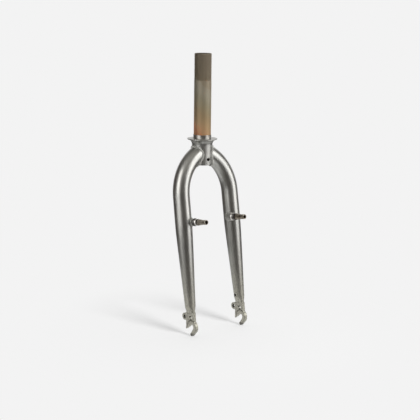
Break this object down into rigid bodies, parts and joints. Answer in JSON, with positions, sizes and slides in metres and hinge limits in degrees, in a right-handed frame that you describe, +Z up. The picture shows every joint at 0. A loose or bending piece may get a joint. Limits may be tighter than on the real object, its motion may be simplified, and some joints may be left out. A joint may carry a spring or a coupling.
{
  "type": "rigid bicycle fork",
  "caption": "Rigid steel bicycle fork with a bare steerer, bent tapered blades in silver paint, slotted plate dropouts with eyelets, and brake pivot studs.",
  "frame": {"origin": "on the steering axis at the top face of the crown race's shoulder", "axes": "+Z up the steerer, -Y forward, +X to the rider's left"},
  "size_m": [0.1316, 0.0901, 0.46],
  "materials": {
    "steerer_steel": "bare, dull, threaded at the top and rusty towards the crown",
    "silver_paint": "semi-gloss metallic silver paint",
    "stud_steel": "bare, dark and dull"
  },
  "bodies": {
    "root": {"steerer_tube": "steerer_steel", "crown_sleeve": "silver_paint", "left_blade": "silver_paint", "right_blade": "silver_paint", "left_dropout": "silver_paint", "right_dropout": "silver_paint", "left_brake_boss": "silver_paint", "right_brake_boss": "silver_paint", "left_brake_stud": "stud_steel", "right_brake_stud": "stud_steel"}
  },
  "joints": []
}
